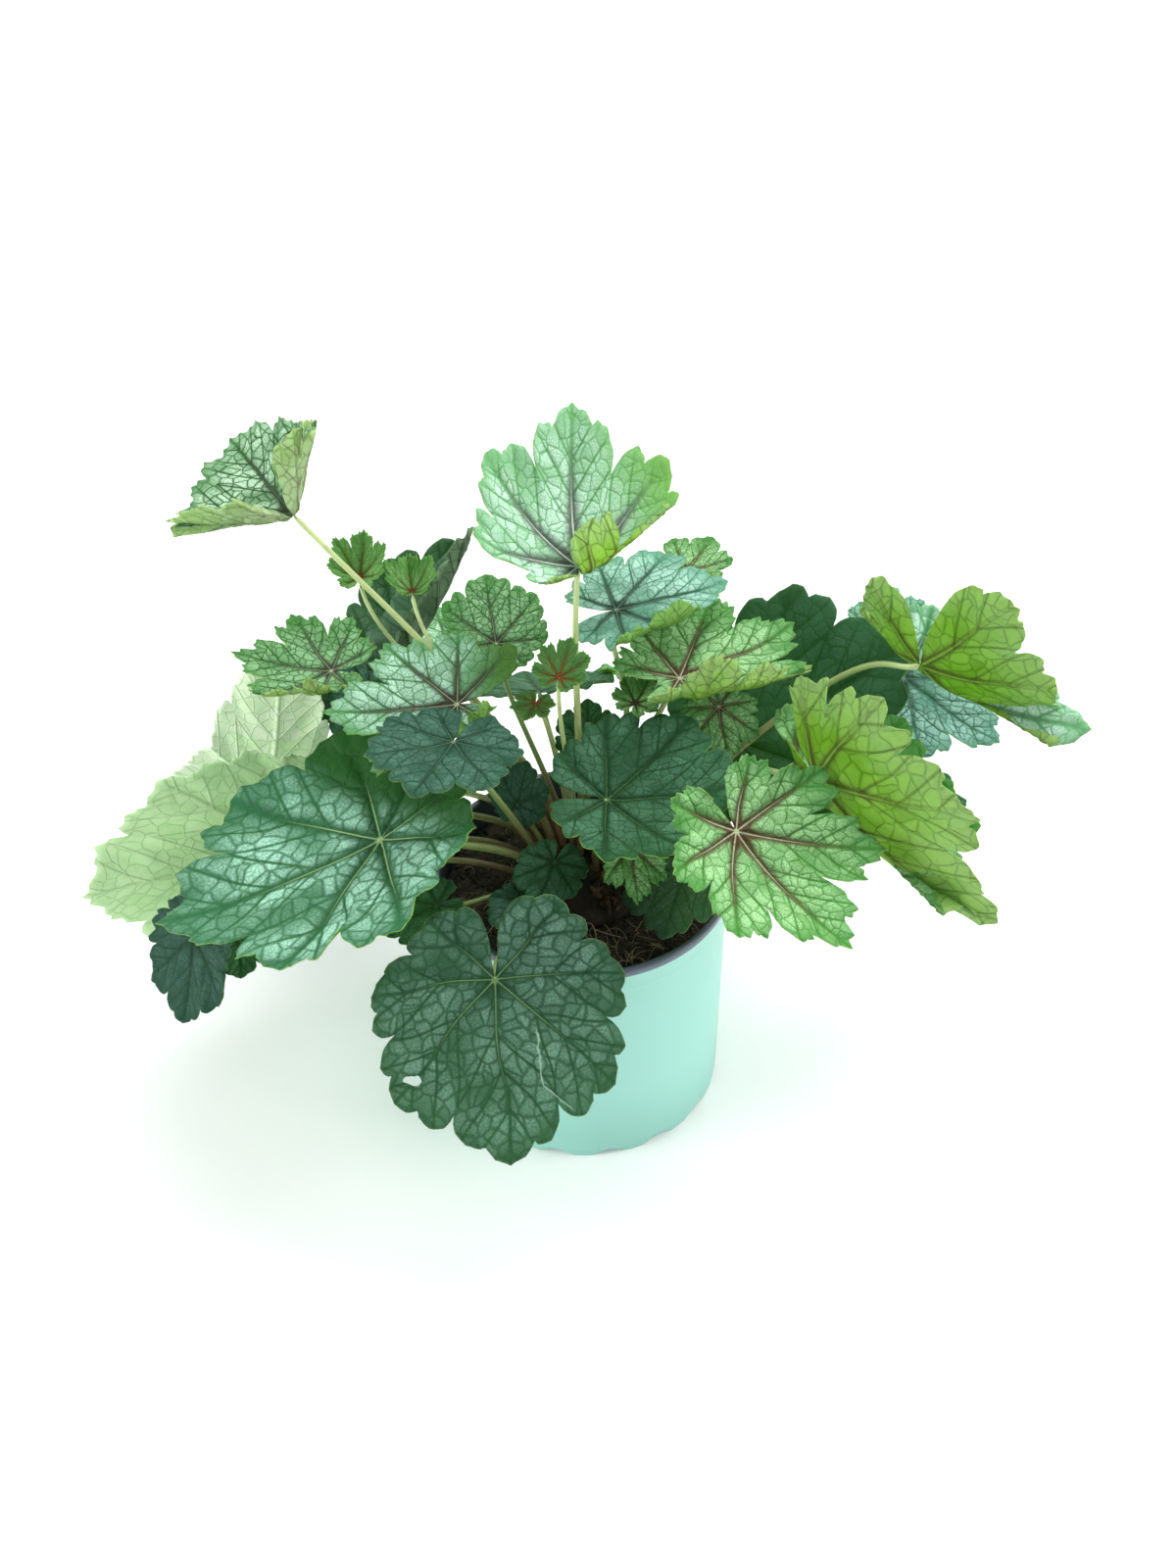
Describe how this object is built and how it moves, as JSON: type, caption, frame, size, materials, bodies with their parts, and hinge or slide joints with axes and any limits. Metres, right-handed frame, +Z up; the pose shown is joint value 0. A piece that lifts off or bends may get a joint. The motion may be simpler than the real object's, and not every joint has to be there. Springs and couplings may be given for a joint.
{
  "type": "potted coral bells",
  "caption": "Coral bells in a mint plastic nursery pot: lobed silver, lime and dark green leaves on long stalks over bark mix.",
  "frame": {"origin": "middle of the pot's underside, on the flat hub that stands on the ground", "axes": "+Z up the pot, +X to the right along the plant's widest spread, -Y towards the viewer"},
  "size_m": [0.4168, 0.3016, 0.2861],
  "materials": {
    "mint_plastic": "satin",
    "potting_mix": "matte",
    "rootstock": "matte",
    "leaf_silver": "satin",
    "leaf_lime": "satin",
    "leaf_dark": "satin",
    "leaf_young": "satin"
  },
  "bodies": {
    "root": {"pot": "mint_plastic", "potting_mix": "potting_mix", "rootstock": "rootstock", "leaf_top": "leaf_silver", "leaf_upper_left": "leaf_silver", "leaf_bud_left": "leaf_young", "leaf_bud_left_low": "leaf_young", "leaf_back_left_dark": "leaf_dark", "leaf_teal": "leaf_silver", "leaf_funnel": "leaf_lime", "leaf_back_small": "leaf_lime", "leaf_left_curled": "leaf_silver", "leaf_left_pale_high": "leaf_lime", "leaf_left_pale_low": "leaf_lime", "leaf_left_big": "leaf_silver", "leaf_left_low": "leaf_dark", "leaf_left_low_behind": "leaf_dark", "leaf_left_silver": "leaf_silver", "leaf_left_shadow": "leaf_dark", "leaf_left_blue": "leaf_dark", "leaf_back_middle": "leaf_dark", "leaf_heart_red": "leaf_young", "leaf_heart_small": "leaf_young", "leaf_heart_dark": "leaf_dark", "leaf_heart_right": "leaf_young", "leaf_middle_small": "leaf_dark", "leaf_middle_right": "leaf_dark", "leaf_front_hanging": "leaf_dark", "leaf_front_small": "leaf_young", "leaf_front_right_dark": "leaf_dark", "leaf_front_left_dark": "leaf_dark", "leaf_front_low": "leaf_dark", "leaf_front_inner": "leaf_dark", "leaf_right_lime": "leaf_lime", "leaf_right_pale": "leaf_lime", "leaf_right_high_pale": "leaf_lime", "leaf_right_silver": "leaf_silver", "leaf_right_dark": "leaf_dark", "leaf_right_under": "leaf_lime", "leaf_back_1": "leaf_dark", "leaf_back_2": "leaf_lime", "leaf_back_3": "leaf_dark", "leaf_back_4": "leaf_silver", "leaf_back_5": "leaf_dark", "leaf_back_6": "leaf_dark", "leaf_back_7": "leaf_dark", "leaf_back_8": "leaf_dark"}
  },
  "joints": []
}
